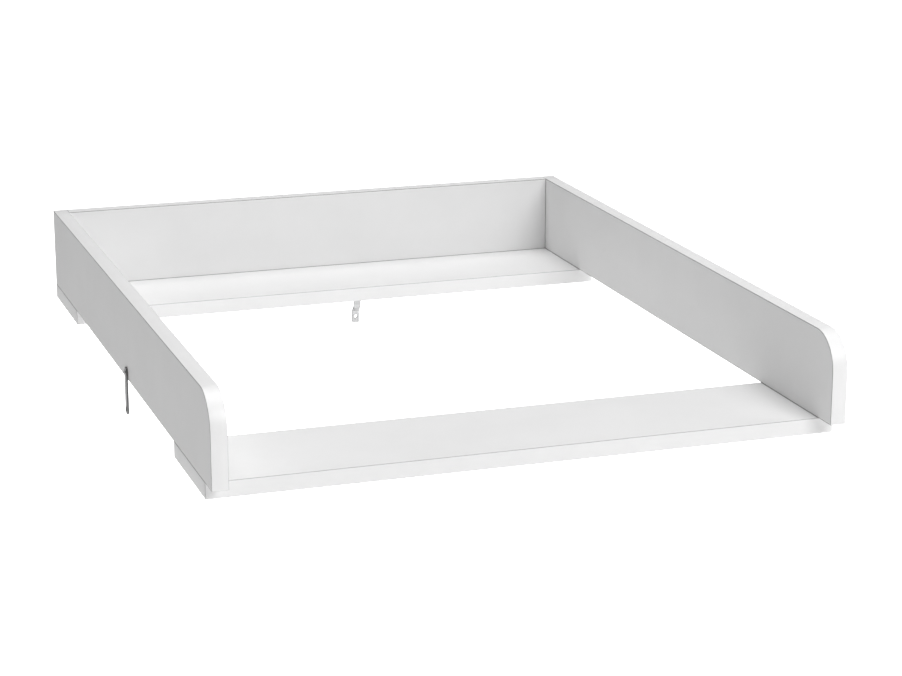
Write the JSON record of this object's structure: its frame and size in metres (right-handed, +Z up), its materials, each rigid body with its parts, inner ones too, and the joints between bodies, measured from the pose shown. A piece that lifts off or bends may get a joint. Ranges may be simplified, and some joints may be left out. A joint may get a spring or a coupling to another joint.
{
  "type": "changing mat frame",
  "caption": "White board frame for a changing mat: two side walls with rounded front corners and a back wall on two flat rails, with steel fixing straps.",
  "frame": {"origin": "middle of the front rail's underside, where the frame rests on the chest's top", "axes": "+X to the right seen from the front, +Y from the open front to the back wall, +Z up"},
  "size_m": [0.6335, 0.8061, 0.171],
  "materials": {
    "white_laminate": "matt white melamine on chipboard",
    "white_edge_band": "satin white plastic edge band",
    "zinc_steel": "bright zinc plate",
    "cast_zinc": "die-cast zinc",
    "beech": "raw fluted beech",
    "strap_steel": "zinc-plated strip steel"
  },
  "bodies": {
    "frame": {"side_panel_left": "white_laminate", "side_panel_right": "white_laminate", "back_panel": "white_laminate", "front_rail": "white_laminate", "rear_rail": "white_laminate", "side_front_top_band_left": "white_edge_band", "side_front_top_band_right": "white_edge_band", "side_rear_band_left": "white_edge_band", "side_rear_band_right": "white_edge_band", "side_bottom_band_left": "white_edge_band", "side_bottom_band_right": "white_edge_band", "back_top_band": "white_edge_band", "front_rail_front_band": "white_edge_band", "front_rail_rear_band": "white_edge_band", "front_rail_left_band": "white_edge_band", "front_rail_right_band": "white_edge_band", "rear_rail_front_band": "white_edge_band", "rear_rail_rear_band": "white_edge_band", "rear_rail_left_band": "white_edge_band", "rear_rail_right_band": "white_edge_band", "front_rail_screws": "zinc_steel", "rear_rail_screws": "zinc_steel", "back_panel_screws": "zinc_steel", "side_strap_screw": "zinc_steel", "wall_strap_screw": "zinc_steel", "rail_dowels": "beech", "back_bottom_dowels": "beech", "back_end_dowels": "beech", "cam_bolts": "zinc_steel", "cam_locks": "cast_zinc"},
    "side_strap": {"side_strap": "strap_steel"},
    "wall_strap": {"wall_strap": "strap_steel"}
  },
  "joints": [
    {"name": "side_strap_swivel", "type": "hinge", "parent": "frame", "child": "side_strap", "pos_m": [-0.3161, 0.285, 0.023], "axis": [1, 0, 0], "continuous": true},
    {"name": "wall_strap_swivel", "type": "hinge", "parent": "frame", "child": "wall_strap", "pos_m": [0.057, 0.7061, 0.023], "axis": [0, 1, 0], "continuous": true}
  ]
}
